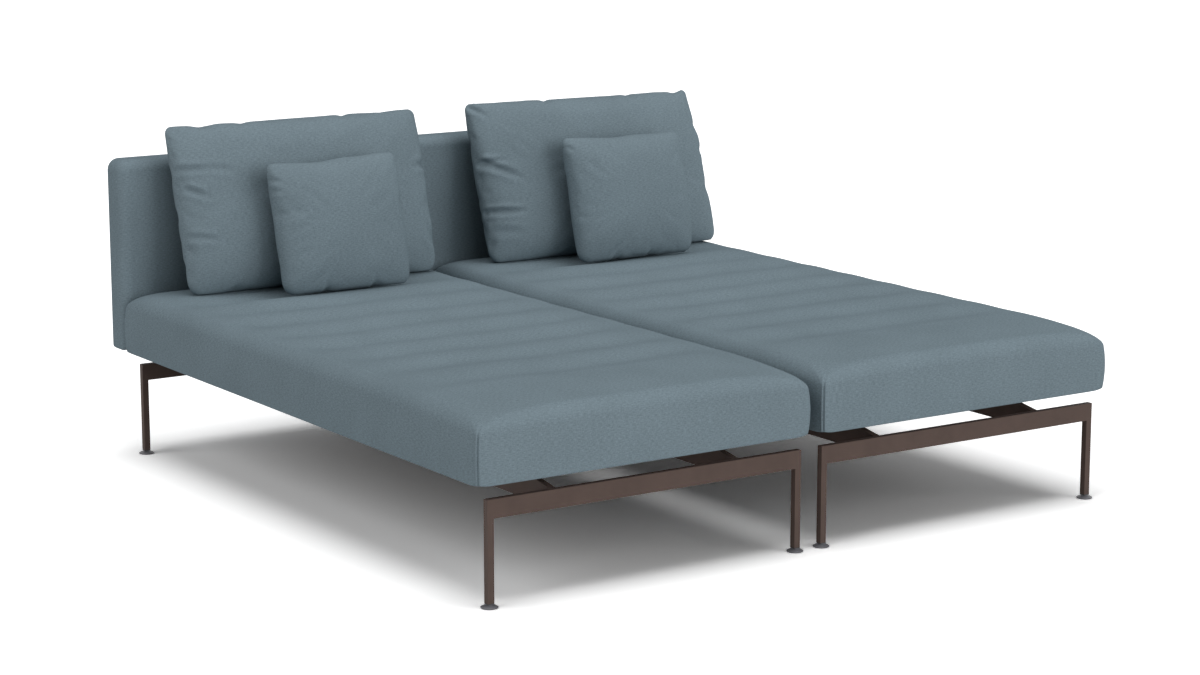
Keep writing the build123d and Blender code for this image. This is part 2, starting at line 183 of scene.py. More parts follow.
# Back
BACK_COUNTS = (120, 30, 5)
BACK_EDGE_STEPS = 8
BACK_TOP_CORNER = 0.028
BACK_FOOT_CORNER = 0.010
BACK_FRONT_EDGE = 0.026
BACK_REAR_EDGE = 0.009
BACK_CORNER_LOSS_SHARE = 0.6
BACK_CORNER_LEAST = 0.004

# Loose cushions
CUSHION_LEAN = math.radians(14.5)
CUSHION_SINK = 0.007
CUSHION_FOOT_CORNER = 0.034
CUSHION_TOP_CORNER = 0.017
CUSHION_CORNER_GROWTH_SHARE = 0.3
CUSHION_DRAW = 0.001
SOFT_GAP = 0.0003
CROWN_POWER = 4.0
CROWN_SHARPNESS = 0.5
LUMP_HEIGHTS = (0.0020, 0.0012)
LUMP_SCALES = (14, 40)
FACE_SEED_STEP = 5
SEAM_INSETS = (0.048, 0.036, 0.026, 0.018, 0.012, 0.007, 0.003, 0.0)
SEAM_LIP = 0.0020
SEAM_SINK_SHARE = 0.7
SWELL_PRESSURE = 1.0
SWELL_FRAMES = 20
SWELL_TRAVEL = 0.010
SWELL_START_SHARE = 0.92
SWELL_GROW_SHARE = 1.01
SWELL_QUALITY = 4
SWELL_STRETCH = 15
SWELL_SHEAR = 5
SWELL_BEND = 0.5
BELT_SHARE = 0.06
FOLD_FACE_DEPTH = 0.004
FOLD_LEAD_SHARE = 0.25
FOLD_END_SHARE = 1.15
FOLD_UPPER_SWELL_SHARE = 0.55
FOLD_UPPER_SWELL_WIDTHS = 1.9
FOLD_LOWER_SWELL_SHARE = 0.35
FOLD_LOWER_SWELL_WIDTHS = 2.1
CUSHION_SIZES = {"back": (0.692, 0.420), "throw": (0.358, 0.334)}
CUSHION_COUNTS = {"back": (96, 56, 4), "throw": (50, 46, 4)}
CUSHION_SEEDS = {
    "left_back_cushion": 7.3,
    "left_throw_cushion": 21.1,
    "right_back_cushion": 14.6,
    "right_throw_cushion": 33.7,
}

# Corners of each cushion's seam, from the middle of its lower edge:
# lower left, lower right, upper right and upper left
CUSHION_CORNERS = {
    "left_back_cushion": ((-0.346, 0.002), (0.344, 0.003), (0.342, 0.421), (-0.3535, 0.420)),
    "right_back_cushion": ((-0.346, 0.003), (0.371, 0.001), (0.338, 0.418), (-0.360, 0.423)),
    "left_throw_cushion": ((-0.175, 0.004), (0.177, 0.002), (0.180, 0.335), (-0.177, 0.330)),
    "right_throw_cushion": ((-0.182, 0.004), (0.177, 0.006), (0.181, 0.328), (-0.182, 0.334)),
}

# Folds of each front face, as start, end, depth and width
CUSHION_FOLDS = {
    "left_back_cushion": [
        ((-0.336, 0.310), (-0.258, 0.304), 0.0048, 0.007),
        ((-0.258, 0.304), (-0.195, 0.292), 0.0018, 0.008),
        ((-0.328, 0.259), (-0.276, 0.232), 0.0052, 0.007),
        ((-0.332, 0.144), (-0.266, 0.129), 0.0034, 0.007),
        ((0.330, 0.275), (0.285, 0.268), 0.0035, 0.008),
        ((0.332, 0.075), (0.305, 0.133), 0.0040, 0.010),
    ],
    "right_back_cushion": [
        ((-0.349, 0.412), (-0.312, 0.382), 0.0058, 0.007),
        ((-0.338, 0.266), (-0.288, 0.264), 0.0048, 0.006),
        ((-0.336, 0.258), (-0.242, 0.210), 0.0070, 0.008),
        ((-0.336, 0.136), (-0.246, 0.127), 0.0068, 0.007),
        ((-0.328, 0.084), (-0.248, 0.073), 0.0026, 0.010),
    ],
    "left_throw_cushion": [
        ((-0.172, 0.289), (-0.150, 0.277), 0.0026, 0.006),
        ((-0.172, 0.260), (-0.150, 0.257), 0.0020, 0.006),
        ((-0.070, 0.006), (-0.064, 0.036), 0.0030, 0.006),
        ((0.062, 0.006), (0.066, 0.034), 0.0030, 0.006),
    ],
    "right_throw_cushion": [
        ((-0.176, 0.308), (-0.158, 0.292), 0.0020, 0.006),
        ((-0.085, 0.006), (-0.072, 0.030), 0.0028, 0.006),
        ((0.025, 0.006), (0.029, 0.028), 0.0028, 0.006),
    ],
}

# Dents and ears of each outline, as place, pull and width
CUSHION_PULLS = {
    "left_back_cushion": [
        ((-0.262, 0.417), (0.0, -0.0055), 0.024),
        ((-0.150, 0.419), (0.0, -0.0030), 0.014),
        ((0.133, 0.420), (0.0, -0.0040), 0.013),
        ((0.342, 0.271), (-0.0050, 0.0), 0.012),
        ((0.343, 0.210), (0.0025, 0.0), 0.040),
    ],
    "right_back_cushion": [
        ((-0.119, 0.420), (0.0, -0.0045), 0.012),
        ((-0.200, 0.420), (0.0, 0.0020), 0.050),
        ((0.142, 0.418), (0.0, -0.0030), 0.014),
        ((0.300, 0.417), (0.0, -0.0050), 0.020),
        ((0.339, 0.417), (0.0010, 0.0050), 0.018),
        ((0.346, 0.317), (-0.0095, 0.0), 0.010),
        ((0.350, 0.282), (0.0075, 0.0), 0.026),
        ((0.351, 0.250), (-0.0055, 0.0), 0.010),
        ((0.357, 0.143), (-0.0040, 0.0), 0.010),
    ],
    "left_throw_cushion": [
        ((-0.040, 0.337), (0.0, -0.0055), 0.060),
        ((0.130, 0.340), (0.0, 0.0020), 0.030),
        ((-0.169, 0.200), (0.0025, 0.0), 0.050),
        ((-0.060, 0.006), (0.0, 0.0040), 0.012),
        ((0.074, 0.006), (0.0, 0.0040), 0.012),
    ],
    "right_throw_cushion": [
        ((-0.030, 0.333), (0.0, -0.0045), 0.060),
        ((-0.180, 0.190), (0.0025, 0.0), 0.060),
        ((0.182, 0.160), (0.0030, 0.0), 0.060),
        ((-0.068, 0.008), (0.0, 0.0040), 0.012),
        ((0.040, 0.008), (0.0, 0.0040), 0.012),
    ],
}

UNITS = {"left": -1, "right": 1}
RIGHT_ANGLE = 90
HALF_CORNER = 45
FIRST_CORNER = 225
TINY = 1e-9


# Meshes

def add_mesh(name, vertices, faces):
    """New smooth mesh object."""
    mesh = bpy.data.meshes.new(name)
    mesh.from_pydata([tuple(v) for v in vertices], [], faces)
    mesh.validate()
    mesh.shade_smooth()
    piece = bpy.data.objects.new(name, mesh)
    bpy.context.scene.collection.objects.link(piece)
    return piece


def smooth_step(value):
    """Rise from 0 to 1 with level ends."""
    value = min(1, max(0, value))
    return value * value * (3 - 2 * value)


def corner_point(center, radius, degrees):
    """Point on an arc in plan."""
    angle = math.radians(degrees)
    return Vector((center[0] + radius * math.cos(angle), center[1] + radius * math.sin(angle)))


def run_shares(length, count, fine):
    """Where a straight run is divided, as shares of it, closer together at its ends if fine is set."""
    if fine == 0:
        return [step / count for step in range(count)]
    ends = [fine * step / length for step in range(FINE_STEPS)]
    first = FINE_STEPS * fine / length
    middle_count = count - 2 * FINE_STEPS
    middle = [first + (1 - 2 * first) * step / middle_count for step in range(middle_count + 1)]
    return ends + middle + [1 - share for share in reversed(ends[1:])]


def ring_points(half_x, half_y, radii, counts, fine=0):
    """Rounded rectangle in plan, anticlockwise from the middle of its lower left corner."""
    across, along, arc = counts
    sides = [(-1, -1), (1, -1), (1, 1), (-1, 1)]
    centers = [(x * (half_x - radius), y * (half_y - radius)) for (x, y), radius in zip(sides, radii)]
    points = []
    for index in range(4):
        following = (index + 1) % 4
        middle = FIRST_CORNER + RIGHT_ANGLE * index
        start = corner_point(centers[index], radii[index], middle + HALF_CORNER)
        end = corner_point(centers[following], radii[following], middle + HALF_CORNER)
        for step in range(arc):
            turn = middle + HALF_CORNER * step / arc
            points.append(corner_point(centers[index], radii[index], turn))
        straight = across if index % 2 == 0 else along
        for share in run_shares((end - start).length, straight, fine):
            points.append(start.lerp(end, share))
        for step in range(arc):
            turn = middle + HALF_CORNER + HALF_CORNER * step / arc
            points.append(corner_point(centers[following], radii[following], turn))
    return points


def ring_index(i, j, wide, deep):
    """Number of the ring's point at place i, j of the grid that it bounds, or None inside."""
    if j == 0:
        return i
    if i == wide:
        return wide + j
    if j == deep:
        return 2 * wide + deep - i
    if i == 0:
        return (2 * wide + 2 * deep - j) % (2 * (wide + deep))
    return None


def fill_ring(ring, wide, deep):
    """Points inside a ring, on a grid that follows its sides (a Coons patch)."""
    def at(i, j):
        return ring[ring_index(i, j, wide, deep)]

    points = {}
    for j in range(1, deep):
        v = j / deep
        for i in range(1, wide):
            u = i / wide
            sides = at(0, j) * (1 - u) + at(wide, j) * u + at(i, 0) * (1 - v) + at(i, deep) * v
            low = at(0, 0).lerp(at(wide, 0), u)
            high = at(0, deep).lerp(at(wide, deep), u)
            points[i, j] = sides - low.lerp(high, v)
    return points


def add_shell(name, rings, counts):
    """Closed mesh through equal rings, from its underside to its top, with a grid over each end."""
    wide = counts[0] + 2 * counts[2]
    deep = counts[1] + 2 * counts[2]
    size = 2 * (wide + deep)
    vertices = [point for ring in rings for point in ring]
    faces = []
    for level in range(len(rings) - 1):
        base = level * size
        for k in range(size):
            n = (k + 1) % size
            faces.append((base + k, base + n, base + size + n, base + size + k))
    for level, flip in ((0, True), (len(rings) - 1, False)):
        inner = fill_ring(rings[level], wide, deep)
        numbers = {}
        for place, point in inner.items():
            numbers[place] = len(vertices)
            vertices.append(point)
        for j in range(deep + 1):
            for i in range(wide + 1):
                edge = ring_index(i, j, wide, deep)
                if edge is not None:
                    numbers[i, j] = level * size + edge
        for j in range(deep):
            for i in range(wide):
                face = (numbers[i, j], numbers[i + 1, j], numbers[i + 1, j + 1], numbers[i, j + 1])
                faces.append(face[::-1] if flip else face)
    return add_mesh(name, vertices, faces)


def move_vertices(piece, change):
    """Replaces each vertex by change(vertex)."""
    for vertex in piece.data.vertices:
        vertex.co = change(vertex.co.copy())
    piece.data.update()


# Materials

def add_node(tree, kind, inputs=None, **settings):
    """New shader node; an input is a value or another node's socket."""
    node = tree.nodes.new(kind)
    for key, value in settings.items():
        setattr(node, key, value)
    for key, value in (inputs or {}).items():
        if isinstance(value, bpy.types.NodeSocket):
            tree.links.new(value, node.inputs[key])
        else:
            node.inputs[key].default_value = value
    return node


def calculate(tree, operation, *values):
    """Socket with the result of an operation on values and sockets."""
    return add_node(tree, "ShaderNodeMath", dict(enumerate(values)), operation=operation).outputs[0]


def add_noise(tree, place, scale, detail, roughness=NOISE_ROUGHNESS):
    """Socket with a noise that has so many waves in a metre."""
    inputs = {"Vector": place, "Scale": scale, "Detail": detail, "Roughness": roughness}
    return add_node(tree, "ShaderNodeTexNoise", inputs).outputs[0]


def add_tones(tree, source, color, stops, shares):
    """Socket with a colour that a noise makes darker or lighter."""
    ramp = add_node(tree, "ShaderNodeValToRGB", {"Fac": source})
    for element, stop, share in zip(ramp.color_ramp.elements, stops, shares):
        element.position = stop
        element.color = (*[channel * share for channel in color], 1)
    return ramp.outputs[0]


def add_range(tree, source, wanted, given):
    """Socket with a value carried from a given range to a wanted one."""
    inputs = {
        "Value": source,
        "From Min": given[0],
        "From Max": given[1],
        "To Min": wanted[0],
        "To Max": wanted[1],
    }
    return add_node(tree, "ShaderNodeMapRange", inputs).outputs[0]


def add_bump(tree, shader, height, strength, distance):
    """Bumps a surface by a noise."""
    inputs = {"Height": height, "Strength": strength, "Distance": distance}
    bump = add_node(tree, "ShaderNodeBump", inputs)
    tree.links.new(bump.outputs[0], shader.inputs["Normal"])


def new_material(name):
    """Material with its node tree and main shader."""
    material = bpy.data.materials.new(name)
    material.use_nodes = True
    tree = material.node_tree
    return material, tree, tree.nodes["Principled BSDF"]


def facing_weights(tree, coordinates):
    """How far a surface faces the sides, the front and the top, as three sockets."""
    split = add_node(tree, "ShaderNodeSeparateXYZ", {"Vector": coordinates.outputs["Normal"]})
    weights = []
    for axis in ("X", "Y", "Z"):
        size = calculate(tree, "ABSOLUTE", split.outputs[axis])
        weights.append(calculate(tree, "POWER", size, FACING_POWER))
    total = calculate(tree, "ADD", weights[0], weights[1])
    total = calculate(tree, "ADD", total, weights[2])
    return [calculate(tree, "DIVIDE", weight, total) for weight in weights]


def faced_noise(tree, coordinates, weights, thread_scales, detail):
    """Noise drawn out along the thread, laid flat on whichever way the surface faces."""
    long, short = thread_scales
    total = 0
    for weight, scales in zip(weights, ((0, long, short), (long, 0, short), (long, short, 0))):
        inputs = {"Vector": coordinates.outputs["Object"], "Scale": scales}
        place = add_node(tree, "ShaderNodeMapping", inputs)
        grain = add_noise(tree, place.outputs[0], 1, detail, THREAD_ROUGHNESS)
        total = calculate(tree, "ADD", total, calculate(tree, "MULTIPLY", grain, weight))
    return total


def make_cloth(name):
    """Blue-grey outdoor cloth: fine weave with short level slubs, and faint paler patches."""
    material, tree, shader = new_material(name)
    coordinates = add_node(tree, "ShaderNodeTexCoord")
    weights = facing_weights(tree, coordinates)
    weft = faced_noise(tree, coordinates, weights, WEFT_SCALES, WEFT_DETAIL)
    warp = faced_noise(tree, coordinates, weights, WARP_SCALES, WARP_DETAIL)
    mix = add_node(tree, "ShaderNodeMix", {0: WARP_SHARE, 2: weft, 3: warp}, data_type="FLOAT")
    thread = mix.outputs[0]
    tones = add_tones(tree, thread, CLOTH_COLOUR, THREAD_STOPS, THREAD_TONE_SHARES)
    patches = add_noise(tree, coordinates.outputs["Object"], PATCH_SCALE, PATCH_DETAIL)
    shade = add_range(tree, patches, PATCH_TONE_SHARES, NOISE_RANGE)
    color = add_node(tree, "ShaderNodeVectorMath", {0: tones, 1: shade}, operation="MULTIPLY")
    tree.links.new(color.outputs[0], shader.inputs["Base Color"])
    add_bump(tree, shader, thread, THREAD_BUMP, THREAD_HEIGHT)
    shader.inputs["Roughness"].default_value = CLOTH_ROUGHNESS
    shader.inputs["Specular IOR Level"].default_value = 0
    return material


def make_coated_metal(name):
    """Dark brown powder coat with a fine orange peel and slightly rubbed patches."""
    material, tree, shader = new_material(name)
    place = add_node(tree, "ShaderNodeTexCoord").outputs["Object"]
    rubbed = add_noise(tree, place, RUB_SCALE, RUB_DETAIL)
    tones = add_tones(tree, rubbed, METAL_COLOUR, METAL_STOPS, METAL_TONE_SHARES)
    tree.links.new(tones, shader.inputs["Base Color"])
    gloss = add_range(tree, rubbed, METAL_ROUGHNESSES, NOISE_RANGE)
    tree.links.new(gloss, shader.inputs["Roughness"])
    peel = add_noise(tree, place, PEEL_SCALE, PEEL_DETAIL)
    add_bump(tree, shader, peel, PEEL_BUMP, PEEL_HEIGHT)
    shader.inputs["Specular IOR Level"].default_value = METAL_GLOSS
    return material


def make_plain(name, color, roughness, scale, metallic, squeeze):
    """Plastic, steel or wood with a fine grain in its colour, gloss and surface."""
    material, tree, shader = new_material(name)
    place = add_node(tree, "ShaderNodeTexCoord").outputs["Object"]
    squeezed = add_node(tree, "ShaderNodeMapping", {"Vector": place, "Scale": squeeze})
    grain = add_noise(tree, squeezed.outputs[0], scale, GRAIN_DETAIL)
    tones = add_tones(tree, grain, color, GRAIN_STOPS, GRAIN_TONE_SHARES)
    tree.links.new(tones, shader.inputs["Base Color"])
    wanted = (roughness - GRAIN_ROUGHNESS, roughness + GRAIN_ROUGHNESS)
    gloss = add_range(tree, grain, wanted, FULL_RANGE)
    tree.links.new(gloss, shader.inputs["Roughness"])
    add_bump(tree, shader, grain, GRAIN_BUMP, GRAIN_HEIGHT)
    shader.inputs["Metallic"].default_value = metallic
    return material


def dress(piece, material):
    """Gives a piece or a CAD node its one material."""
    piece.data.materials.clear()
    piece.data.materials.append(material)


cloth = make_cloth("cloth")
slot_materials = {"frame_metal": make_coated_metal("coated_metal"), "upholstery": cloth}
for slot, finish in PLAIN_FINISHES.items():
    slot_materials[slot] = make_plain(*finish)


# Frame: the CAD nodes as they are, with softened edges

def dress_frame():
    """Materials of all CAD nodes, and a small bevel on the coated metal."""
    slots = {part["node"]: part["material_slot"] for part in frame["record"]["subparts"]}
    for node, piece in frame["nodes"].items():
        dress(piece, slot_materials[slots[node]])
        if slots[node] == "frame_metal":
            bevel = piece.modifiers.new("edge", "BEVEL")
            bevel.width = EDGE_BEVEL
            bevel.segments = EDGE_SEGMENTS
            bevel.limit_method = "ANGLE"
            bevel.harden_normals = True


# Mattresses

def ripple_height(x, y_from_front, half_width, seed):
    """Soft hollows across the mattress, with round swells between them."""
    spot = Vector((x * RIPPLE_WANDER_SCALES[0], y_from_front * RIPPLE_WANDER_SCALES[1], seed))
    wander = RIPPLE_WANDER * noise.noise(spot)
    place = (y_from_front - RIPPLE_START + wander) / RIPPLE_PITCH
    number = min(RIPPLE_COUNT - 1, max(0, round(place)))
    away = min(1, abs(place - number) * 2)
    strength = RIPPLE_FIRST_SHARE + (1 - RIPPLE_FIRST_SHARE) * smooth_step(number / RIPPLE_GAIN_COUNT)
    spot = Vector((number * RIPPLE_VARIED_SCALES[0], x * RIPPLE_VARIED_SCALES[1], seed + RIPPLE_SEED_STEP))
    strength *= RIPPLE_LEAST_SHARE + RIPPLE_VARIED_SHARE * noise.noise(spot)
    side = smooth_step((half_width - abs(x)) / RIPPLE_MARGIN)
    hollow = ((1 + math.cos(math.pi * away)) / 2) ** RIPPLE_POWER
    return -RIPPLE_DEPTH * strength * side * hollow


def seam_profile(away, puckered):
    """How far the cover stands out beside an upright seam: a groove, two lips and small puckers."""
    rise = -SEAM_DEPTH * math.exp(-((away / SEAM_WIDTH) ** 2))
    lip = (away - SEAM_SIDE_LIP_WIDTHS * SEAM_WIDTH) / SEAM_WIDTH
    rise += SEAM_SIDE_LIP_SHARE * SEAM_DEPTH * math.exp(-(lip ** 2))
    if puckered:
        for place in PUCKER_PLACES:
            rise -= PUCKER_DEPTH * math.exp(-(((away - place) / PUCKER_WIDTH) ** 2))
    return rise


def pinch_seams(ring, counts, strength):
    """Draws the cover in at the upright seam in the middle of each corner."""
    across, along, arc = counts
    size = len(ring)
    seams = [0]
    for straight in (across, along, across):
        seams.append(seams[-1] + 2 * arc + straight)
    pinched = list(ring)
    for corner, seam in enumerate(seams):
        for way in (-1, 1):
            puckered = way == (-1 if corner % 2 == 0 else 1)
            away = 0.0
            for step in range(arc + FINE_STEPS + 1):
                k = (seam + way * step) % size
                if step > 0:
                    away += (ring[k] - ring[(k - way) % size]).length
                tangent = ring[(k + 1) % size] - ring[(k - 1) % size]
                outward = Vector((tangent.y, -tangent.x)).normalized()
                pinched[k] = ring[k] + outward * strength * seam_profile(away, puckered)
    return pinched


def seat_levels(bottom):
    """Height, inset and strength of the corner seams, from a mattress's foot to its crown."""
    levels = []
    quarter = math.radians(RIGHT_ANGLE)
    for step in range(SEAT_FOOT_STEPS + 1):
        turn = quarter * step / SEAT_FOOT_STEPS
        height = bottom + SEAT_FOOT * (1 - math.cos(turn))
        levels.append((height, SEAT_BULGE + SEAT_FOOT * (1 - math.sin(turn)), step / SEAT_FOOT_STEPS))
    edge_start = SEAT_TOP - SEAT_CROWN - SEAT_EDGE
    side_start = bottom + SEAT_FOOT
    for step in range(1, SEAT_SIDE_STEPS):
        share = step / SEAT_SIDE_STEPS
        bulge = SEAT_BULGE * (1 - math.sin(math.pi * share) ** SEAT_BULGE_POWER)
        levels.append((side_start + (edge_start - side_start) * share, bulge, 1))
    for step in range(SEAT_EDGE_STEPS + 1):
        turn = quarter * step / SEAT_EDGE_STEPS
        height = edge_start + SEAT_EDGE * math.sin(turn)
        inset = SEAT_BULGE + SEAT_EDGE * (1 - math.cos(turn))
        levels.append((height, inset, 1 - smooth_step(SEAM_FADE_RATE * step / SEAT_EDGE_STEPS)))
    edge_top, edge_inset, _ = levels[-1]
    for step in range(1, SEAT_CROWN_STEPS + 1):
        share = step / SEAT_CROWN_STEPS
        rise = SEAT_CROWN * math.sin(share * math.pi / 2)
        levels.append((edge_top + rise, edge_inset + SEAT_CROWN_RUN * share, 0))
    return levels


def seat_rings(center, half_x, half_y, board, counts):
    """Rings of a mattress from the roof of its board's recess, round its edges, to its crown."""
    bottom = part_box("left_seat_pad")[0].z
    board_center, board_x, board_y = board
    rings = []

    def put(middle, ring, z):
        rings.append([Vector((middle[0] + p.x, middle[1] + p.y, z)) for p in ring])

    recess = ring_points(board_x, board_y, [BOARD_CLEARANCE] * 4, counts)
    put(board_center, recess, bottom + BOARD_THICKNESS + BOARD_CLEARANCE)
    put(board_center, recess, bottom)
    for z, inset, strength in seat_levels(bottom):
        growth = SEAT_CORNER_GROWTH_SHARE * max(0, inset - SEAT_BULGE)
        radius = SEAT_CORNER + min(growth, SEAT_CORNER_GROWTH_LIMIT)
        ring = ring_points(half_x - inset, half_y - inset, [radius] * 4, counts, FINE_STEP)
        put(center, pinch_seams(ring, counts, strength), z)
    return rings


def make_seat(unit):
    """Mattress with its soft ripples, drooping front corners and upright seams."""
    low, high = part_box(f"{unit}_seat_pad")
    board_low, board_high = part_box(f"{unit}_seat_board")
    center = (low + high) / 2
    half = (high - low) / 2
    board_center = (board_low + board_high) / 2
    board_half = (board_high - board_low) / 2
    side = UNITS[unit]
    seed = SEAT_SEEDS[unit]
    board = (board_center, board_half.x + BOARD_CLEARANCE, board_half.y + BOARD_CLEARANCE)
    rings = seat_rings(center, half.x, half.y, board, SEAT_COUNTS)
    piece = add_shell(f"{unit}_mattress", rings, SEAT_COUNTS)

    def shape(point):
        rise = (point.z - low.z) / (high.z - low.z)
        corner = math.hypot(half.x - abs(point.x - center.x), point.y - low.y)
        if point.z > SEAT_TOP - RIPPLE_LEVEL:
            point.z += ripple_height(point.x - center.x, point.y - low.y, half.x, seed)
        if point.z > low.z + SEAT_DIP_START:
            across, along, up = SEAT_DIP_SCALES
            soft = noise.noise(Vector((point.x * across, point.y * along, point.z * up + seed)))
            point.z += SEAT_DIP * (soft - 1)
        point.z -= SEAT_DROOP * rise ** 2 * math.exp(-((corner / SEAT_DROOP_REACH) ** 2))
        point.z += SEAT_LIFT * (1 - rise) ** SEAT_LIFT_POWER * math.exp(-((corner / SEAT_LIFT_REACH) ** 2))
        inward = -side * (point.x - center.x) / half.x
        point.x += SEAT_LEAN * smooth_step((inward - SEAT_LEAN_START_SHARE) / SEAT_LEAN_RUN_SHARE)
        return point

    move_vertices(piece, shape)
    dress(piece, cloth)
    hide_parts(f"{unit}_seat_pad")
    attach(piece, "root")


# Back

def back_levels(half_depth, edge):
    """Distance from the middle and inset of the rings over one rounded rim of the back."""
    turns = [math.radians(RIGHT_ANGLE) * step / BACK_EDGE_STEPS for step in range(BACK_EDGE_STEPS + 1)]
    return [(half_depth - edge * (1 - math.sin(turn)), edge * (1 - math.cos(turn))) for turn in turns]


def make_back():
    """Upholstered back: a slab on edge, softer at its front rim than at its rear one."""
    low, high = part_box("back_pad")
    center = (low + high) / 2
    half = (high - low) / 2
    rear = back_levels(half.y, BACK_REAR_EDGE)
    front = [(-depth, inset) for depth, inset in back_levels(half.y, BACK_FRONT_EDGE)]
    rings = []
    for depth, inset in rear[::-1] + front:
        loss = inset * BACK_CORNER_LOSS_SHARE
        foot = max(BACK_CORNER_LEAST, BACK_FOOT_CORNER - loss)
        top = max(BACK_CORNER_LEAST, BACK_TOP_CORNER - loss)
        ring = ring_points(half.x - inset, half.z - inset, [foot, foot, top, top], BACK_COUNTS)
        rings.append([Vector((center.x + p.x, center.y + depth, center.z + p.y)) for p in ring])
    piece = add_shell("upholstered_back", rings, BACK_COUNTS)
    dress(piece, cloth)
    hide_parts("back_pad")
    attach(piece, "root")


# Loose cushions

CUSHION_RIGHT = Vector((1, 0, 0))
CUSHION_UP = Vector((0, math.sin(CUSHION_LEAN), math.cos(CUSHION_LEAN)))
CUSHION_OUT = Vector((0, -math.cos(CUSHION_LEAN), math.sin(CUSHION_LEAN)))


def cushion_place(node):
    """Middle of a leaning cushion's lower edge, and its half thickness, from its CAD solid."""
    points = [vertex.co for vertex in frame["nodes"][node].data.vertices]
    depths = [point.dot(CUSHION_OUT) for point in points]
    low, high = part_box(node)
    z = SEAT_TOP + SOFT_GAP - CUSHION_SINK
    depth = (min(depths) + max(depths)) / 2
    y = (z * CUSHION_OUT.z - depth) / -CUSHION_OUT.y
    return Vector(((low.x + high.x) / 2, y, z)), (max(depths) - min(depths)) / 2


def cushion_rings(half_x, half_y, swell, counts):
    """Rings of a pillow from its rear face, over the seam, to its front face."""
    insets = SEAM_INSETS
    rings = []
    for way, inset in [(-1, inset) for inset in insets] + [(1, inset) for inset in insets[-2::-1]]:
        growth = CUSHION_CORNER_GROWTH_SHARE * inset
        radii = [CUSHION_FOOT_CORNER + growth] * 2 + [CUSHION_TOP_CORNER + growth] * 2
        ring = ring_points(half_x - inset, half_y - inset, radii, counts)
        depth = way * swell if inset > 0 else 0
        rings.append([Vector((p.x, p.y, depth)) for p in ring])
    return rings


def crown_cushion(piece, half_x, half_y, swell, seed):
    """Rounds both faces of a pillow and gives them a little unevenness."""
    def shape(point):
        if point.z == 0:
            return point
        way = math.copysign(1, point.z)
        across = 1 - min(1, abs(point.x) / half_x) ** CROWN_POWER
        along = 1 - min(1, abs(point.y) / half_y) ** CROWN_POWER
        point.z = way * swell * (across * along) ** CROWN_SHARPNESS
        spot = Vector((point.x, point.y, seed + FACE_SEED_STEP * way))
        wide, fine = [h * noise.noise(spot * scale) for h, scale in zip(LUMP_HEIGHTS, LUMP_SCALES)]
        point.z += wide + fine
        return point

    move_vertices(piece, shape)


def read_points(mesh):
    """Vertices of a mesh as rows of numbers."""
    points = np.empty(len(mesh.vertices) * 3)
    mesh.vertices.foreach_get("co", points)
    return points.reshape(-1, 3)


def write_points(mesh, points):
    """Puts rows of numbers back as the vertices of a mesh."""
    mesh.vertices.foreach_set("co", points.ravel())
    mesh.update()


def evaluated_mesh(piece):
    """The piece's mesh with its modifiers applied."""
    graph = bpy.context.evaluated_depsgraph_get()
    return bpy.data.meshes.new_from_object(piece.evaluated_get(graph))


def blow_up(piece):
    """Swells a pillow with a cloth simulation, so that its sides draw in and wrinkle."""
    start = read_points(piece.data)
    modifier = piece.modifiers.new("cloth", "CLOTH")
    settings = modifier.settings
    settings.quality = SWELL_QUALITY
    settings.tension_stiffness = SWELL_STRETCH
    settings.compression_stiffness = SWELL_STRETCH
    settings.shear_stiffness = SWELL_SHEAR
    settings.bending_stiffness = SWELL_BEND
    settings.use_pressure = True
    settings.uniform_pressure_force = SWELL_PRESSURE
    settings.effector_weights.gravity = 0
    modifier.point_cache.frame_start = 1
    modifier.point_cache.frame_end = SWELL_FRAMES
    scene = bpy.context.scene
    for number in range(1, SWELL_FRAMES + 1):
        scene.frame_set(number)
    swollen = evaluated_mesh(piece)
    points = read_points(swollen)
    bpy.data.meshes.remove(swollen)
    piece.modifiers.clear()
    scene.frame_set(1)
    travel = points - start
    length = np.linalg.norm(travel, axis=1)
    share = np.minimum(1, SWELL_TRAVEL / np.maximum(length, TINY))
    write_points(piece.data, start + travel * share[:, None])


def fit_cushion(piece, half, draw):
    """Scales a swollen pillow to its size, and straightens its sides to a small draw."""
    points = read_points(piece.data)
    low = points.min(axis=0)
    high = points.max(axis=0)
    points = (points - (low + high) / 2) / ((high - low) / 2)
    for axis, other in ((0, 1), (1, 0)):
        belt = np.abs(points[:, other]) < BELT_SHARE
        reach = points[belt, axis].max() - points[belt, axis].min()
        wanted = 2 * (1 - draw / half[axis])
        points[:, axis] *= 1 + (wanted / reach - 1) * (1 - points[:, other] ** 2)
    write_points(piece.data, points * np.array(half))


def stretch_cushion(piece, half, corners):
    """Carries the four corners of a pillow's seam to their places, measured from its lower edge."""
    points = read_points(piece.data)
    u = (points[:, 0] / half[0] + 1) / 2
    v = (points[:, 1] / half[1] + 1) / 2
    shares = np.stack(((1 - u) * (1 - v), u * (1 - v), u * v, (1 - u) * v), axis=1)
    points[:, :2] = shares @ np.array(corners)
    write_points(piece.data, points)


def raise_seam(piece, counts):
    """Draws the seam out into a narrow lip all round."""
    points = read_points(piece.data)
    size = 2 * (counts[0] + counts[1] + 4 * counts[2])
    seam = len(SEAM_INSETS) - 1
    rings = [points[(seam + step) * size:(seam + step + 1) * size] for step in (-1, 0, 1)]
    out = rings[1] - (rings[0] + rings[2]) / 2
    out /= np.maximum(np.linalg.norm(out, axis=1), TINY)[:, None]
    rings[1] += out * SEAM_LIP
    rings[0] -= out * SEAM_LIP * SEAM_SINK_SHARE
    rings[2] -= out * SEAM_LIP * SEAM_SINK_SHARE
    write_points(piece.data, points)


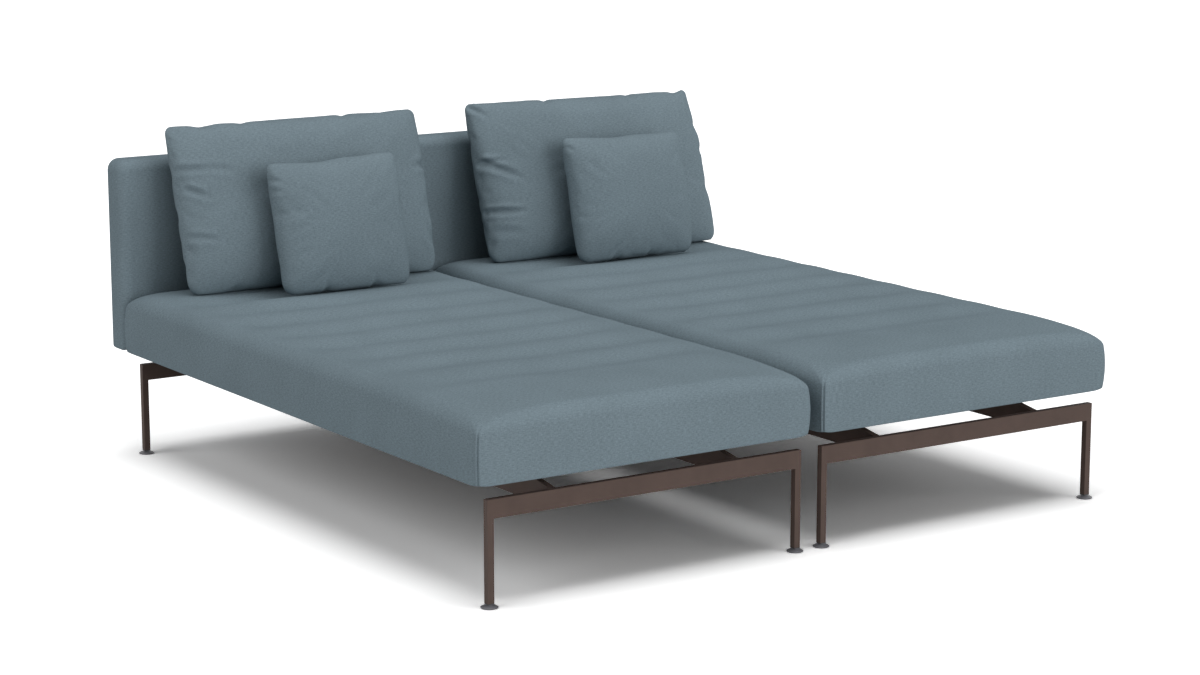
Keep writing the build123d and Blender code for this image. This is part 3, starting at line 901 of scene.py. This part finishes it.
def subdivide(piece):
    """Applies one smooth subdivision."""
    piece.modifiers.new("finer", "SUBSURF").levels = 1
    fine = evaluated_mesh(piece)
    piece.modifiers.clear()
    piece.data = fine


def press_folds(piece, folds):
    """Presses folds into the front face of a cushion, each with a soft swell on both sides."""
    mesh = piece.data
    points = read_points(mesh)
    normals = np.empty(len(mesh.vertices) * 3)
    mesh.vertices.foreach_get("normal", normals)
    normals = normals.reshape(-1, 3)
    front = points[:, 2] > FOLD_FACE_DEPTH
    move = np.zeros(len(points))
    for start, end, depth, width in folds:
        line = np.array(end) - np.array(start)
        length = np.linalg.norm(line)
        line = line / length
        away = points[:, :2] - np.array(start)
        along = away @ line / length
        across = away @ np.array((-line[1], line[0])) / width
        taper = np.clip(FOLD_END_SHARE - along, 0, 1)
        taper *= np.clip((along + FOLD_LEAD_SHARE) / FOLD_LEAD_SHARE, 0, 1)
        taper = taper * taper * (3 - 2 * taper)
        upper = FOLD_UPPER_SWELL_SHARE * np.exp(-((across - FOLD_UPPER_SWELL_WIDTHS) ** 2))
        lower = FOLD_LOWER_SWELL_SHARE * np.exp(-((across + FOLD_LOWER_SWELL_WIDTHS) ** 2))
        valley = np.exp(-(across ** 2)) - (upper + lower)
        move -= depth * taper * valley * (along < FOLD_END_SHARE) * front
    write_points(mesh, points + normals * move[:, None])


def pull_outline(piece, pulls):
    """Draws the outline of a cushion in or out, round some places on it."""
    points = read_points(piece.data)
    flat = points[:, :2].copy()
    for place, pull, width in pulls:
        away = np.linalg.norm(flat - np.array(place), axis=1)
        points[:, :2] += np.exp(-((away / width) ** 2))[:, None] * np.array(pull)
    write_points(piece.data, points)


def make_cushion(unit, kind):
    """Loose cushion that leans back on its lower edge."""
    node = f"{unit}_{kind}_cushion"
    counts = CUSHION_COUNTS[kind]
    width, height = CUSHION_SIZES[kind]
    base, thickness = cushion_place(node)
    half = (width / 2, height / 2, thickness)
    start = SWELL_START_SHARE
    grow = SWELL_GROW_SHARE
    rings = cushion_rings(half[0] * grow, half[1] * grow, thickness * start, counts)
    piece = add_shell(f"{unit}_{kind}_pillow", rings, counts)
    crown_cushion(piece, half[0] * grow, half[1] * grow, thickness * start, CUSHION_SEEDS[node])
    blow_up(piece)
    fit_cushion(piece, half, CUSHION_DRAW)
    stretch_cushion(piece, half, CUSHION_CORNERS[node])
    raise_seam(piece, counts)
    subdivide(piece)
    press_folds(piece, CUSHION_FOLDS[node])
    pull_outline(piece, CUSHION_PULLS[node])
    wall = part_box("back_pad")[0].y

    def place(point):
        spot = base + CUSHION_RIGHT * point.x + CUSHION_UP * point.y + CUSHION_OUT * point.z
        spot.z = max(spot.z, SEAT_TOP + SOFT_GAP)
        spot.y = min(spot.y, wall - SOFT_GAP)
        return spot

    move_vertices(piece, place)
    dress(piece, cloth)
    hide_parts(node)
    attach(piece, node)


# Floor, light and camera

def seen_share(tree):
    """1 for a ray that comes from the camera or off a glossy or clear surface, and otherwise 0."""
    path = add_node(tree, "ShaderNodeLightPath")
    seen = path.outputs["Is Camera Ray"]
    for other in ("Is Glossy Ray", "Is Transmission Ray"):
        seen = calculate(tree, "MAXIMUM", seen, path.outputs[other])
    return seen


def make_floor():
    """White floor that keeps the object's shadow."""
    sides = [(-1, -1), (1, -1), (1, 1), (-1, 1)]
    corners = [(x * FLOOR_REACH, y * FLOOR_REACH, 0) for x, y in sides]
    floor = add_mesh("floor", corners, [(0, 1, 2, 3)])
    material, tree, shader = new_material("floor")
    tones = [
        add_node(tree, "ShaderNodeBsdfDiffuse", {"Color": (tone, tone, tone, 1)}).outputs[0]
        for tone in (FLOOR_TONE, FLOOR_SEEN_TONE)
    ]
    mix = add_node(tree, "ShaderNodeMixShader", {0: seen_share(tree), 1: tones[0], 2: tones[1]})
    tree.links.new(mix.outputs[0], tree.nodes["Material Output"].inputs["Surface"])
    tree.nodes.remove(shader)
    dress(floor, material)
    return floor


def make_surround():
    """Even light from all sides, and a white background."""
    world = bpy.data.worlds.new("surround")
    bpy.context.scene.world = world
    world.use_nodes = True
    tree = world.node_tree
    background = tree.nodes["Background"]
    strength = add_range(tree, seen_share(tree), (AMBIENT_STRENGTH, 1), FULL_RANGE)
    background.inputs["Color"].default_value = (1, 1, 1, 1)
    tree.links.new(strength, background.inputs["Strength"])


def all_but(floor):
    """Collection for lamps that light everything but the floor."""
    spared = bpy.data.collections.new("spared_floor")
    spared.objects.link(floor)
    spared.collection_objects[0].light_linking.link_state = "EXCLUDE"
    return spared


def add_lamp(name, height, turn, strength):
    """Soft lamp far away, from its height and its turn from the foot end in degrees."""
    lamp = bpy.data.lights.new(name, "SUN")
    lamp.energy = strength
    lamp.angle = math.radians(LAMP_SPREAD)
    height = math.radians(height)
    turn = math.radians(turn)
    level = math.cos(height)
    toward = Vector((-math.sin(turn) * level, math.cos(turn) * level, -math.sin(height)))
    piece = bpy.data.objects.new(name, lamp)
    piece.rotation_euler = toward.to_track_quat("-Z", "Y").to_euler()
    bpy.context.scene.collection.objects.link(piece)
    return piece


def make_camera():
    """Camera of the photograph."""
    camera = bpy.data.cameras.new("camera")
    camera.lens = CAMERA_LENS
    camera.sensor_width = CAMERA_SENSOR
    camera.clip_end = CAMERA_REACH
    piece = bpy.data.objects.new("camera", camera)
    piece.location = CAMERA_PLACE
    piece.rotation_euler = (math.radians(RIGHT_ANGLE - CAMERA_DIP), 0, math.radians(CAMERA_TURN))
    bpy.context.scene.collection.objects.link(piece)
    bpy.context.scene.camera = piece


dress_frame()
for unit in UNITS:
    make_seat(unit)
make_back()
for unit in UNITS:
    for kind in CUSHION_SIZES:
        make_cushion(unit, kind)
spared_floor = all_but(make_floor())
make_surround()
for name, (height, turn, strength, lights_floor) in LAMPS.items():
    lamp = add_lamp(name, height, turn, strength)
    if not lights_floor:
        lamp.light_linking.receiver_collection = spared_floor
make_camera()
bpy.context.scene.view_settings.view_transform = "Standard"
